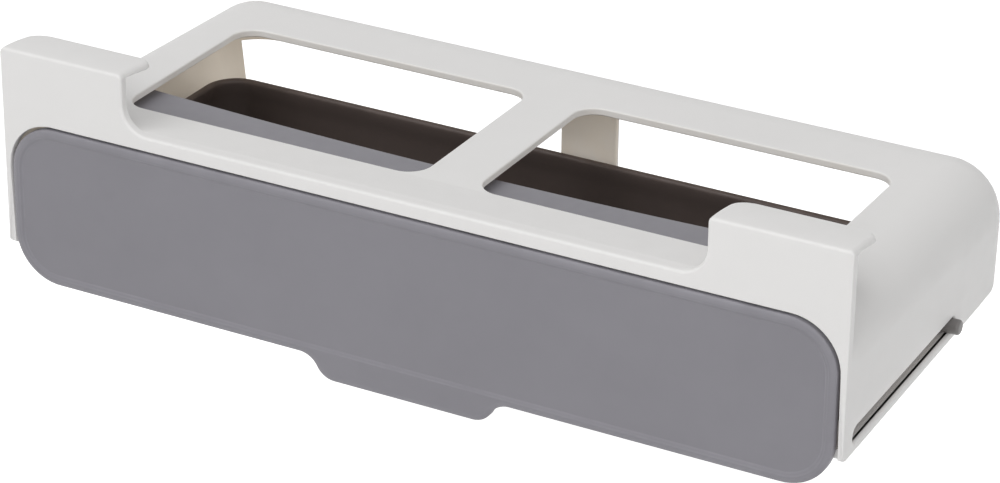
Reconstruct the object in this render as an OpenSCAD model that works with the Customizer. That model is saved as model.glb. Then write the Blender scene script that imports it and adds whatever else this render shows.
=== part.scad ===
// Under-shelf spice rack: a white frame that hooks on to the front of a shelf,
// and a drawer that slides forward on two guide pins and then drops down.
// The origin is on the seat that meets the shelf's underside, in the plane of the shelf's front edge.
// +X is to the right, +Y to the back and +Z up.

/* [Shelf and hooks] */
// Width of the frame over the front flange
frame_w = 335; // [280:1:380]
// Clear height between the seat and the hooks, for the shelf's board
shelf_gap = 19.5; // [12:0.5:30]
// Thickness of a hook plate
hook_t = 2.4; // [2:0.1:4]
// Width of a hook plate
hook_w = 52.3; // [35:0.1:65]
// Length of a hook over the shelf, behind the flange
hook_reach = 14.8; // [12:0.1:24]
// Radius of a hook's rear corners
hook_corner_r = 9; // [3:0.5:11]

/* [Frame] */
// Depth of the frame behind the flange
frame_d = 153; // [132:1:172]
// Depth of the side walls below the seat
wall_drop = 56.8; // [52:0.1:66]
// Thickness of the walls
wall_t = 2.6; // [2:0.1:3.5]
// Thickness of the front flange
flange_t = 3; // [2.5:0.1:4]
// How much each side wall's lower edge leans in from front to back
toe_in = 4; // [0:0.1:8]
// How much each side wall's upper part leans in from front to back
toe_top = 4; // [0:0.1:6]
// Radius of the side shoulders at the front
shoulder_r = 16; // [12:0.5:22]
// Radius of the rear shoulder and of the upper rear corners
rear_r = 16; // [12:0.5:24]
// Radius of the lower rear corners, seen from above
corner_r = 16; // [8:0.5:16]
// Drop from the seat to the top plate
plate_drop = 4.6; // [2:0.1:7]
// Thickness of the top plate
plate_t = 3; // [2:0.1:4]
// Depth of the flat seat behind the flange
seat_d = 2; // [1:0.1:5]
// Radius at the foot of the cut between the hooks
cut_r = 10; // [4:0.5:14]
// Radius of a leg's lower end, seen from the side
leg_r = 4; // [2:0.5:8]
// Radius of the side walls' lower rear corner
heel_r = 17; // [4:0.5:18]

/* [Top openings] */
// Width of the rib between the openings
rib_w = 22.2; // [12:0.2:40]
// Depth of the front rail
rail_d = 27; // [20:0.5:34]
// Depth of the rear rail
rear_rail_d = 42.5; // [36:0.5:52]
// Width of each side rail
side_rail_w = 30.5; // [25:0.5:50]
// Radius of the openings' corners
opening_r = 9; // [3:0.5:14]

/* [Rear] */
// Depth of the rear skirt below the seat
skirt_drop = 26; // [22:0.5:32]
// Width of the rear post
post_w = 23.6; // [14:0.2:40]
// Distance from the rear of the frame to the front of the rear post
post_in = 17; // [15:0.5:19]
// Height of the rear cross-bar
bar_h = 10; // [6:0.5:11]
// Width of wall that turns each rear corner
return_w = 6.1; // [4:0.1:12]

/* [Drawer] */
// Clearance round the drawer's front in the flange
front_gap = 0.9; // [0.5:0.1:1.5]
// Width of a leg of the flange beside the drawer
leg_w = 2.6; // [2:0.1:5]
// Distance from the seat to the drawer's front
front_top = 6.4; // [5.8:0.1:9]
// Height of the drawer's front
front_h = 62.3; // [54:0.1:70]
// Thickness of the drawer's front
front_t = 4; // [3.2:0.1:5]
// Radius of the front's corners
front_r = 18.5; // [8:0.5:24]
// Width of the raised rim
rim_w = 3.6; // [2:0.1:6]
// Depth of the sunk face inside the rim
sink_d = 0.8; // [0.3:0.1:1.2]
// Height of the finger tab
tab_h = 8.6; // [5:0.1:10]
// Width of the tab along its lower edge
tab_w = 56; // [30:1:80]
// Radius of the tab's curves
tab_r = 8.2; // [7.6:0.1:12]
// Distance from the seat to the lip over the jars
lip_drop = 10; // [9:0.1:14]
// Thickness of the lip
lip_t = 2.4; // [1.6:0.1:3]
// Depth of the lip at its middle
lip_d = 48; // [30:0.5:56]
// How much deeper the lip is at its ends
lip_bow = 6.4; // [2:0.1:8]

/* [Tray] */
// Distance from the side of the frame to the tray
tray_side = 12.5; // [11.5:0.5:22]
// Distance from the rear of the frame to the tray
tray_back = 28; // [25:0.5:40]
// Height of the tray's walls
tray_h = 23; // [16:0.5:25]
// Thickness of the tray's walls and floor
tray_t = 2; // [1.6:0.1:2.6]
// Radius of the tray's rear corners
tray_r = 14; // [6:0.5:18]
// Thickness of the rolled rim
bead_t = 3; // [2.6:0.1:4]
// Gap under the tray down to the walls' lower edge
floor_gap = 0.8; // [0:0.1:2]
// How far each side runner stands out of the tray
runner_w = 5; // [2:0.1:5.4]

/* [Guide pins] */
// Radius of a pin
pin_r = 2.8; // [2:0.1:3.5]
// Distance from the rear of the frame to the pins at rest
pin_back = 56.5; // [49:0.5:65]
// Distance from the shelf's front edge to the pins when the drawer is out
slot_front = 8.5; // [8:0.5:30]
// Clearance above and below a pin in its slot
slot_gap = 0.3; // [0.2:0.05:0.6]
// Material under the slot
slot_bar = 3.8; // [3:0.1:6]
// How far a pin stands out of the side wall at rest
pin_out = 3.4; // [1:0.1:4.5]
// Radial clearance of the hinge
hinge_gap = 0.05; // [0.02:0.01:0.1]

/* [Hidden] */
$fn = 64;
overrun = 2;
ball_fn = 72;
fit_gap = 0.2;
side_gap = 0.3;
snap_gap = 0.4;
collar_r = pin_r + 1.8;
head_r = pin_r + 1;
head_t = 1.4;
boss_r = pin_r + 3.6;
boss_t = 0.9;
runner_in = 3;
cheek_t = 2;
cheek_h = 16;

half_w = frame_w / 2;
rear_half_w = half_w - toe_in;
opening_d = frame_d - rail_d - rear_rail_d;
opening_reach = half_w - side_rail_w;
post_y = frame_d - post_in;
pin_y = frame_d - pin_back;
travel = pin_y - slot_front;
tray_w = frame_w - 2 * tray_side;
tray_d = frame_d - tray_back;
plate_z = -plate_drop;
hook_z = shelf_gap + hook_t;
slot_r = pin_r + slot_gap;
pin_z = -wall_drop + slot_bar + slot_r;
front_half_w = half_w - leg_w - front_gap;
tray_z = -wall_drop + floor_gap;
tray_half_w = tray_w / 2;
runner_r = pin_z - tray_z;
lip_arc_half = tray_half_w - tray_t - bead_t;
lip_arc_r = (lip_arc_half * lip_arc_half + lip_bow * lip_bow) / (2 * lip_bow);
tab_side = sqrt(tab_h * (4 * tab_r - tab_h));
tab_turn = acos(1 - tab_h / (2 * tab_r));
tab_steps = 10;

white = [0.88, 0.87, 0.85];
grey = [0.55, 0.54, 0.56];
dark = [0.24, 0.21, 0.20];
pin_grey = [0.50, 0.48, 0.47];

// Half width of the frame along the wall's lower edge, and above the shoulders' foot
function low_x(y) = half_w - toe_in * (y - overrun) / (frame_d - corner_r - overrun);
function top_x(y) = half_w - toe_top * (y - overrun) / (frame_d - rear_r - overrun);

// Half width of the frame at the pins: the wall's lower rear face runs from its lower edge up to
// the upper rear corner, and this is how far out that face lies
function pin_wall_x() =
    let (s = (pin_z + wall_drop - overrun) / (wall_drop - overrun - plate_drop - rear_r))
    let (t = (pin_y - overrun - s * (frame_d - rear_r - overrun)) / (frame_d - corner_r - overrun))
    half_w - toe_top * s - toe_in * t;

// Rectangle with round corners, in the plane, centred on X and standing on Y = 0
module round_rect(w, h, r) {
    translate([-w / 2, r]) square([w, h - 2 * r]);
    translate([-w / 2 + r, 0]) square([w - 2 * r, h]);
    for (x = [-w / 2 + r, w / 2 - r], y = [r, h - r]) translate([x, y]) circle(r);
}

// Fills the inner angle at a corner with a fillet that opens towards +X and +Y
module fillet(r) {
    difference() {
        translate([-overrun, -overrun]) square(r + overrun);
        translate([r, r]) circle(r);
    }
}

// Turns a flat outline in X and Z into a plate that runs back from the front
module upright(front_y, t) {
    translate([0, front_y + t, 0]) rotate([90, 0, 0]) linear_extrude(t) children();
}

// Extrudes an outline drawn in Y and Z across the whole width
module across(w) {
    rotate([90, 0, 90]) translate([0, 0, -w / 2]) linear_extrude(w) children();
}

// The closed form of the frame behind the flange, smaller by an inset at the walls and at the top.
// Its walls lean in towards the rear, over the shoulder and along the lower edge.
module frame_form(inset, top_inset, floor_z, front_y) {
    top = plate_z - top_inset;
    side_r = shoulder_r - inset;
    ball_r = rear_r - inset;
    low_h = overrun - wall_drop - floor_z;
    hull() for (side = [-1, 1]) {
        translate([side * (half_w - shoulder_r), front_y, top - side_r]) {
            rotate([-90, 0, 0]) cylinder(r = side_r, h = overrun, $fn = ball_fn);
            translate([-side_r, 0, floor_z - top + side_r])
                cube([2 * side_r, overrun, -floor_z + top - side_r]);
        }
        translate([side * (half_w - toe_top - rear_r), frame_d - rear_r, top - ball_r])
            sphere(ball_r, $fn = ball_fn);
        translate([side * (rear_half_w - corner_r), frame_d - corner_r, floor_z])
            cylinder(r = corner_r - inset, h = low_h, $fn = ball_fn);
    }
}

// Outline of the flange: two hooks above the seat, and the cut for the drawer's front below
module flange_outline() {
    cut_half = half_w - hook_w;
    open_half = half_w - leg_w;
    difference() {
        translate([-half_w, -wall_drop]) square([frame_w, wall_drop + hook_z]);
        translate([-cut_half, cut_r]) square([2 * cut_half, hook_z]);
        translate([-cut_half + cut_r, 0]) square([2 * (cut_half - cut_r), hook_z]);
        for (side = [-1, 1]) translate([side * (cut_half - cut_r), cut_r]) circle(cut_r);
        translate([-open_half, -wall_drop - overrun])
            square([2 * open_half, wall_drop + overrun - front_top + front_gap - front_r]);
        translate([-open_half + front_r, -wall_drop - overrun])
            square([2 * (open_half - front_r), wall_drop + overrun - front_top + front_gap]);
        for (side = [-1, 1]) translate([side * (open_half - front_r), -front_top + front_gap - front_r])
            circle(front_r);
    }
}

// Outline of a hook plate seen from above, with its rear corners rounded
module hook_outline() {
    full = flange_t + hook_reach;
    square([hook_w, full - hook_corner_r]);
    translate([hook_corner_r, 0]) square([hook_w - 2 * hook_corner_r, full]);
    for (x = [hook_corner_r, hook_w - hook_corner_r]) translate([x, full - hook_corner_r]) circle(hook_corner_r);
}

// Front rail: a flat seat that runs down to the top plate, seen from the side
module rail_outline() {
    cut_z = -front_top + front_gap;
    polygon([
        [-overrun / 2, 0],
        [seat_d, 0],
        [rail_d, plate_z],
        [rail_d, plate_z - plate_t],
        [0, plate_z - plate_t],
        [0, cut_z],
        [-overrun / 2, cut_z]
    ]);
}

// One opening of the top plate, between the rib and the side rail
module opening_outline() {
    w = opening_reach - rib_w / 2;
    translate([rib_w / 2 + w / 2, rail_d]) round_rect(w, opening_d, opening_r);
}

// A slot for a guide pin, with half-round ends, as a bar across both walls
module slot_cut() {
    for (y = [slot_front, pin_y]) translate([-half_w - overrun, y, pin_z])
        rotate([0, 90, 0]) cylinder(r = slot_r, h = frame_w + 2 * overrun);
    translate([-half_w - overrun, slot_front, pin_z - slot_r])
        cube([frame_w + 2 * overrun, travel, 2 * slot_r]);
}

// Side view of what is cut away outside the legs' toes and the heels
module toe_heel_outline() {
    translate([-flange_t, -wall_drop]) fillet(leg_r);
    translate([frame_d, -wall_drop]) rotate(90) fillet(heel_r);
}

// Front rail, rib, side rails and shoulders in one open moulding
module shell() {
    window_top = -skirt_drop;
    difference() {
        frame_form(0, 0, -wall_drop, 0);
        frame_form(wall_t, plate_t, -wall_drop - overrun, -overrun);
        for (side = [-1, 1]) scale([side, 1, 1])
            translate([0, 0, plate_z - plate_t - overrun])
                linear_extrude(plate_t + 2 * overrun) opening_outline();
        translate([-rear_half_w + return_w, frame_d - corner_r - overrun, -wall_drop - overrun])
            cube([2 * (rear_half_w - return_w), corner_r + 2 * overrun, wall_drop + overrun + window_top]);
    }
}

// White moulding that hangs on the shelf and carries the drawer
module frame() {
    bar_half = low_x(post_y) - wall_t / 2;
    color(white) difference() {
        union() {
            shell();
            upright(-flange_t, flange_t) flange_outline();
            for (side = [-1, 1]) scale([side, 1, 1])
                translate([half_w - hook_w, -flange_t, shelf_gap]) linear_extrude(hook_t) hook_outline();
            across(2 * (top_x(rail_d) - rear_r)) rail_outline();
            translate([-post_w / 2, post_y, -wall_drop])
                cube([post_w, wall_t, wall_drop + plate_z - plate_t / 2]);
            translate([-bar_half, post_y, -wall_drop]) cube([2 * bar_half, wall_t, bar_h]);
        }
        slot_cut();
        across(frame_w + 2 * overrun) toe_heel_outline();
    }
}

// Outline of the drawer's front, with the tab on its lower edge
module front_outline() {
    low = -front_top - front_h;
    foot = low - tab_h;
    translate([0, low]) round_rect(2 * front_half_w, front_h, front_r);
    right = tab_curve(low, foot);
    left = [for (i = [len(right) - 1:-1:0]) [-right[i][0], right[i][1]]];
    top = [[-right[len(right) - 1][0], low + rim_w / 2], [right[len(right) - 1][0], low + rim_w / 2]];
    polygon(concat(right, [top[1], top[0]], left));
}

// Right end of the tab: a round out of its lower edge, then a hollow into the front's lower edge
function tab_curve(low, foot) = concat(
    [for (i = [0:tab_steps]) let (a = tab_turn * i / tab_steps)
        [tab_w / 2 + tab_r * sin(a), foot + tab_r * (1 - cos(a))]],
    [for (i = [1:tab_steps]) let (a = tab_turn * (1 - i / tab_steps))
        [tab_w / 2 + tab_side - tab_r * sin(a), low - tab_r * (1 - cos(a))]]
);

// The sunk face inside the raised rim
module face_outline() {
    w = 2 * (front_half_w - rim_w);
    translate([0, -front_top - front_h + rim_w]) round_rect(w, front_h - 2 * rim_w, front_r - rim_w);
}

// Lip over the jars, seen from above, with its hollow rear edge
module lip_outline() {
    full = lip_d + lip_bow + overrun;
    difference() {
        translate([-lip_arc_half, -fit_gap]) square([2 * lip_arc_half, full + fit_gap]);
        translate([0, lip_d + lip_arc_r]) circle(lip_arc_r, $fn = 360);
    }
}

// Grey moulding: the drawer's face, its finger tab, and the lip that holds the jars
module drawer_front() {
    cheek_top = -lip_drop - lip_t / 2;
    color(grey) {
        difference() {
            upright(-front_t, front_t - fit_gap / 2) front_outline();
            upright(-front_t - overrun, overrun + sink_d) face_outline();
        }
        translate([0, 0, -lip_drop - lip_t]) linear_extrude(lip_t) lip_outline();
        for (side = [-1, 1]) scale([side, 1, 1])
            translate([lip_arc_half - cheek_t, -fit_gap, cheek_top - cheek_h])
                cube([cheek_t, lip_d + fit_gap, cheek_h]);
    }
}

// Outline of the tray from above, at an inset from its outer walls
module tray_outline(inset) {
    w = tray_w - 2 * inset;
    r = tray_r - inset;
    translate([-w / 2, inset]) square([w, tray_d - 2 * inset - r]);
    translate([-w / 2 + r, inset]) square([w - 2 * r, tray_d - 2 * inset]);
    for (side = [-1, 1]) translate([side * (w / 2 - r), tray_d - inset - r]) circle(r);
}

// Floor of the tray, which its walls stand on
module tray_floor() {
    color(dark) translate([0, 0, tray_z]) linear_extrude(tray_t) tray_outline(0);
}

// Walls of the dark tray for the jars, with a rolled rim and a boss round each pin
module tray() {
    color(dark) difference() {
        union() {
            difference() {
                translate([0, 0, tray_z]) linear_extrude(tray_h) tray_outline(0);
                translate([0, 0, tray_z - overrun]) linear_extrude(tray_h + 2 * overrun) tray_outline(tray_t);
            }
            difference() {
                translate([0, 0, tray_z + tray_h - bead_t]) linear_extrude(bead_t) tray_outline(0);
                translate([0, 0, tray_z + tray_h - bead_t - overrun])
                    linear_extrude(bead_t + 2 * overrun) tray_outline(bead_t);
            }
            for (side = [-1, 1]) scale([side, 1, 1])
                translate([tray_half_w - tray_t - boss_t, pin_y, pin_z])
                    rotate([0, 90, 0]) cylinder(r = boss_r, h = tray_t + boss_t);
        }
        translate([-half_w, pin_y, pin_z]) rotate([0, 90, 0]) cylinder(r = pin_r + hinge_gap, h = frame_w);
        translate([-half_w, 0, -wall_drop - overrun]) cube([frame_w, tray_d, floor_gap + tray_t + overrun]);
    }
}

// Runner on the tray's right side, from its front to a round end about the pin
module runner() {
    color(dark) difference() {
        union() {
            translate([tray_half_w, pin_y, pin_z]) rotate([0, 90, 0]) cylinder(r = runner_r, h = runner_w);
            translate([tray_half_w, runner_in, tray_z]) cube([runner_w, pin_y - runner_in, 2 * runner_r]);
        }
        translate([0, pin_y, pin_z]) rotate([0, 90, 0]) cylinder(r = pin_r + hinge_gap, h = half_w);
    }
}

module runner_left() {
    scale([-1, 1, 1]) runner();
}

module runner_right() {
    runner();
}

// Guide pin on the right: head, journal, collar and the end that runs in the slot
module guide_pin() {
    wall_out = pin_wall_x();
    wall_in = wall_out - wall_t;
    bore_in = tray_half_w - tray_t - boss_t;
    head_x = bore_in - side_gap - head_t;
    collar_x = tray_half_w + runner_w + side_gap;
    color(pin_grey) translate([0, pin_y, pin_z]) rotate([0, 90, 0]) {
        translate([0, 0, head_x]) cylinder(r = head_r, h = head_t);
        translate([0, 0, head_x + head_t / 2]) cylinder(r = pin_r, h = wall_out + pin_out - head_x - head_t / 2);
        translate([0, 0, collar_x]) cylinder(r = collar_r, h = wall_in - snap_gap - collar_x);
    }
}

module pin_left() {
    scale([-1, 1, 1]) guide_pin();
}

module pin_right() {
    guide_pin();
}

frame();
drawer_front();
tray();
tray_floor();
runner_left();
runner_right();
pin_left();
pin_right();
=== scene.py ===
"""Under-shelf spice rack: a white frame that hooks over a shelf, and its grey drop-down drawer.

Every length in the functions is in millimetres unless its name says otherwise; a mesh is put in
metres when it is made. X is to the right, Y to the back and Z up, and z = 0 is the underside
of the shelf.
"""

import math

import bmesh
import bpy
import numpy as np
from mathutils import Matrix, Vector
from mathutils.geometry import tessellate_polygon


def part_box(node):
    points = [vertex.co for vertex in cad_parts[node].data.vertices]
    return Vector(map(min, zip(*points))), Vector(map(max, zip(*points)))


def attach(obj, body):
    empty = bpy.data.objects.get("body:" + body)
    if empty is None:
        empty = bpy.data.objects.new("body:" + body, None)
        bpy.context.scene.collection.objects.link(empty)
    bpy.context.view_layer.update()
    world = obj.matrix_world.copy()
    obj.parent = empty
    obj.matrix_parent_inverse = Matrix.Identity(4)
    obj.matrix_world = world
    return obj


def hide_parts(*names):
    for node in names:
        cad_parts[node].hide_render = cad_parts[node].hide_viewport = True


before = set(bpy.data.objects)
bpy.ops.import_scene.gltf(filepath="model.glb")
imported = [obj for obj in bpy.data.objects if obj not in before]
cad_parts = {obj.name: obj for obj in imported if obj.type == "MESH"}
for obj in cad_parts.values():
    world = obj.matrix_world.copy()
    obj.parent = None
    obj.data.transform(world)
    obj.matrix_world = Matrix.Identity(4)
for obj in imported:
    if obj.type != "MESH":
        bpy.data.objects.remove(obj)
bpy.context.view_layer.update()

bl_info = {
    "name": "Under-shelf spice rack",
    "version": (1, 0, 0),
    "blender": (4, 5, 0),
    "location": "3D View > Sidebar > Spice rack",
    "description": "Builds the rack's frame, drawer front, tray and guide pins, and a plain studio",
    "category": "Add Mesh",
}

MM = 0.001

# Half width of the frame.
CAD_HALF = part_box("frame")[1][0] / MM

# Steps of the arc on a rounded corner.
ARC_STEPS = 14

# Two edges with less than this squared sine between them run straight on.
STRAIGHT = 1e-9

# Edges that turn further than this are shaded sharp.
SHARP_ANGLE = math.radians(40)

# Points that are nearer than this, in metres, become one.
WELD = 2e-6

# Edge mark at a profile's bend, for each radian from one row to the next: bends are painted
# lighter, for rubbing and a painted highlight.
WEAR_AND_HIGHLIGHT_GAIN = 3

# Width of the small bevel on a hidden edge.
BEVEL = 0.5

# Distance kept between faces of one moulding's bodies that would else lie in one plane.
OVERLAP = 0.03

# How far a form reaches into the wall that carries it.
ROOT = 0.2

# What the radius of a strip's round end is short of half its height.
ROUND_SLACK = 0.01


def node_box(node):
    """The lowest and the highest corner of a CAD node at rest, in millimetres."""
    return [np.array(v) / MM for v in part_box(node)]


# Outlines and surfaces


def outline(corners, radii, inset=0.0, arc=ARC_STEPS):
    """Points of a closed, anticlockwise outline with rounded corners, moved inwards by an inset.

    Each edge moves along its inward normal by the inset, or by its own share of it where inset
    is an array. A corner stands where its two moved edges meet. On it lies an arc that touches
    both edges: its radius is the corner's radius less the inset on an outer corner, and the
    radius plus the inset on an inner one. A corner of radius 0 stays one point.
    """
    p = np.asarray(corners, float)
    r = np.broadcast_to(np.asarray(radii, float), len(p))
    d2 = np.broadcast_to(np.asarray(inset, float), len(p))
    d1 = np.roll(d2, 1)
    edge = np.roll(p, -1, 0) - p
    edge = edge / np.linalg.norm(edge, axis=1)[:, None]
    n2 = np.stack([edge[:, 1], -edge[:, 0]], 1)
    n1, before = np.roll(n2, 1, 0), np.roll(edge, 1, 0)
    c = np.sum(n1 * n2, 1)
    turn = np.arctan2(before[:, 0] * edge[:, 1] - before[:, 1] * edge[:, 0], c)
    bent = 1 - c * c > STRAIGHT
    k = np.where(bent, 1 - c * c, 1)
    a = np.where(bent, (d1 - d2 * c) / k, d1)
    b = np.where(bent, (d2 - d1 * c) / k, 0)
    q = p - a[:, None] * n1 - b[:, None] * n2
    side = np.sign(turn)
    reach = np.where(r > 0, side * np.maximum(r - side * (d1 + d2) / 2, 0), 0)
    count = np.where(r > 0, arc + 1, 1)
    i = np.repeat(np.arange(len(p)), count)
    step = np.arange(len(i)) - (np.cumsum(count) - count)[i]
    angle = turn[i] * step / np.maximum(count[i] - 1, 1)
    cos, sin = np.cos(angle), np.sin(angle)
    n = np.stack([n1[i, 0] * cos - n1[i, 1] * sin, n1[i, 0] * sin + n1[i, 1] * cos], 1)
    middle = ((n1 + n2) / (1 + c)[:, None])[i]
    return q[i] + reach[i][:, None] * (n - middle)


def quarter(inset, start, end, steps=6):
    """Rows of a quarter ellipse: the inset grows from 0 as 1 - cos, while the height goes from
    start to end as sin."""
    t = np.linspace(0, math.pi / 2, steps + 1)
    return np.stack([inset * (1 - np.cos(t)), start + (end - start) * np.sin(t)], 1)


def add_object(name, data):
    """Makes an object and puts it into the scene."""
    made = bpy.data.objects.new(name, data)
    bpy.context.scene.collection.objects.link(made)
    return made


class Surface:
    """Collects the points and faces of one closed mesh, with marks for its edges, painted lighter
    for rubbing and a painted highlight, and for its inner faces, which get painted warm shade and
    emission.
    """

    def __init__(self):
        self.points, self.wear, self.inner, self.faces, self.count = [], [], [], [], 0

    def add(self, points, wear=0.0, inner=0.0):
        """Adds an array of points in millimetres, and gives back their numbers in its shape.

        wear is 1 on an edge that rubs and is painted lighter, with a painted highlight, and inner
        is 1 on a face inside the moulding, which gets painted warm shade and a painted emission.
        """
        points = np.asarray(points, float)
        shape = points.shape[:-1]
        flat = points.reshape(-1, 3)
        self.points.append(flat)
        self.wear.append(np.broadcast_to(wear, shape).reshape(-1))
        self.inner.append(np.broadcast_to(inner, shape).reshape(-1))
        first, self.count = self.count, self.count + len(flat)
        return np.arange(first, self.count).reshape(shape)

    def grid(self, index, closed=False):
        """Quads between the neighbours of a table of point numbers, closed along its rows."""
        if closed:
            index = np.concatenate([index, index[:, :1]], 1)
        quads = np.stack([index[:-1, :-1], index[:-1, 1:], index[1:, 1:], index[1:, :-1]], -1)
        self.faces.extend(quads.reshape(-1, 4).tolist())

    def fill(self, *rings):
        """Flat face inside the first ring of point numbers, less the rings that follow it."""
        table = np.concatenate(self.points)
        numbers = np.concatenate(rings)
        loops = [[Vector(v) for v in table[ring]] for ring in rings]
        self.faces.extend(numbers[list(face)].tolist() for face in tessellate_polygon(loops))

    def slab(self, corners, radii, rows, place, share=1.0, inner=0.0):
        """A plate: an outline carried through rows of (inset, height), with two flat ends."""
        rings = self.carry(corners, radii, rows, place, share, inner)
        self.fill(rings[0])
        self.fill(rings[-1])

    def carry(self, corners, radii, rows, place, share=1.0, inner=0.0):
        """An outline carried through rows of (inset, height), as one band of quads.

        place turns an array of flat points and a height into points in space. The edge mark grows
        with the profile's bend at a row, which is the change of its direction there: bends are
        painted lighter, for rubbing and a painted highlight.
        """
        rows = np.asarray(rows, float)
        share = np.asarray(share, float)
        rings = np.stack([place(outline(corners, radii, share * d), h) for d, h in rows])
        bend = np.abs(np.gradient(np.unwrap(np.arctan2(*np.gradient(rows, axis=0).T))))
        bend[[0, -1]] = 0
        # Rows at a bend are painted lighter, for rubbing and a painted highlight.
        index = self.add(rings, np.clip(bend * WEAR_AND_HIGHLIGHT_GAIN, 0, 1)[:, None], inner)
        self.grid(index, closed=True)
        return index

    def lathe(self, profile, centre, turns=48):
        """A profile of (distance along X, radius) turned round the X axis through a centre."""
        profile = np.asarray(profile, float)
        t = np.linspace(0, 2 * math.pi, turns, endpoint=False)
        x = centre[0] + profile[:, :1] + 0 * t
        y = centre[1] + profile[:, 1:] * np.cos(t)
        z = centre[2] + profile[:, 1:] * np.sin(t)
        self.grid(self.add(np.stack([x, y, z], -1)), closed=True)

    def mesh(self, name):
        """The collected points and faces as a mesh."""
        mesh = bpy.data.meshes.new(name)
        mesh.from_pydata((np.concatenate(self.points) * MM).tolist(), [], self.faces)
        return mesh

    def piece(self, name, material, body, slot, *nodes):
        """Makes the object, gives it its material, sets it on the body it rides on and hides the
        solids it stands for.

        Doubles are merged, faces point outwards, and the shading is smooth up to sharp edges. The
        slot argument is not used.
        """
        mesh = self.mesh(name)
        # Marks for the edges painted lighter, for rubbing and a painted highlight, and for the
        # inner faces, which get painted warm shade and a painted emission.
        for label, values in (("edge_wear", self.wear), ("inner_face", self.inner)):
            layer = mesh.attributes.new(label, "FLOAT", "POINT")
            layer.data.foreach_set("value", np.concatenate(values).astype(np.float32))
        bm = bmesh.new()
        bm.from_mesh(mesh)
        bmesh.ops.remove_doubles(bm, verts=bm.verts, dist=WELD)
        bmesh.ops.dissolve_degenerate(bm, edges=bm.edges, dist=WELD)
        bmesh.ops.recalc_face_normals(bm, faces=bm.faces)
        bm.to_mesh(mesh)
        bm.free()
        mesh.polygons.foreach_set("use_smooth", np.ones(len(mesh.polygons), bool))
        mesh.set_sharp_from_angle(angle=SHARP_ANGLE)
        mesh.materials.append(material)
        piece = add_object(name, mesh)
        weighted = piece.modifiers.new("Even shading", "WEIGHTED_NORMAL")
        weighted.keep_sharp = True
        weighted.weight = 60
        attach(piece, body)
        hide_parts(*nodes)


# Finishes

# Cells in a metre of the clouds in the tone, and of the patches in which edges are painted
# lighter, for rubbing and a painted highlight.
CLOUD_CELLS = 14
EDGE_PATCH_CELLS = 90

# Cells of the grain across one flow mark.
FLOW_RATIO = 9

# How far the roughness goes below and above its middle.
ROUGH_RANGE = 0.05

# How strongly flow marks and grain tilt the surface.
FLOW_BUMP = 0.25
GRAIN_BUMP = 0.35

PLASTIC_IOR = 1.47


def feed(tree, node, inputs):
    """Sets a node's inputs, by name or number: a socket is linked, and the rest are values."""
    for key, value in inputs.items():
        if isinstance(value, bpy.types.NodeSocket):
            tree.links.new(value, node.inputs[key])
        else:
            node.inputs[key].default_value = value


def add_node(tree, which, inputs):
    """Makes a shader node and sets its inputs."""
    node = tree.nodes.new("ShaderNode" + which)
    feed(tree, node, inputs)
    return node


def noise(tree, coords, scale, detail, rough=0.5):
    """A cloud pattern on the object's own coordinates, with its scale in cells a metre."""
    inputs = {"Vector": coords, "Scale": scale, "Detail": detail, "Roughness": rough}
    return add_node(tree, "TexNoise", inputs).outputs["Fac"]


def spread(tree, value, low, high, start=0.3, stop=0.7):
    """Stretches a pattern's middle range between two values."""
    inputs = {"Value": value, "From Min": start, "From Max": stop, "To Min": low, "To Max": high}
    return add_node(tree, "MapRange", inputs).outputs["Result"]


def blend_colour(tree, share, first, second):
    """Mixes two colours, each a socket or a plain colour, by a share of the second."""
    node = tree.nodes.new("ShaderNodeMix")
    node.data_type = "RGBA"
    sockets = [i for i, s in enumerate(node.inputs) if s.type == "RGBA"]
    inputs = {"Factor": share}
    for key, value in zip(sockets, (first, second)):
        inputs[key] = (*value, 1) if isinstance(value, tuple) else value
    feed(tree, node, inputs)
    return next(s for s in node.outputs if s.type == "RGBA")


def combine(tree, operation, first, second):
    """The result of a Math node on two values, each a socket or a plain number."""
    node = add_node(tree, "Math", {0: first, 1: second})
    node.operation = operation
    return node.outputs["Value"]


def attribute(tree, name):
    """A value that the mesh holds at each of its points."""
    node = tree.nodes.new("ShaderNodeAttribute")
    node.attribute_name = name
    return node.outputs["Fac"]


def bump(tree, height, strength, distance, **under):
    """Lifts the surface by a pattern, by a distance in millimetres, over an earlier lift."""
    inputs = {"Height": height, "Strength": strength, "Distance": distance * MM, **under}
    return add_node(tree, "Bump", inputs).outputs["Normal"]


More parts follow.
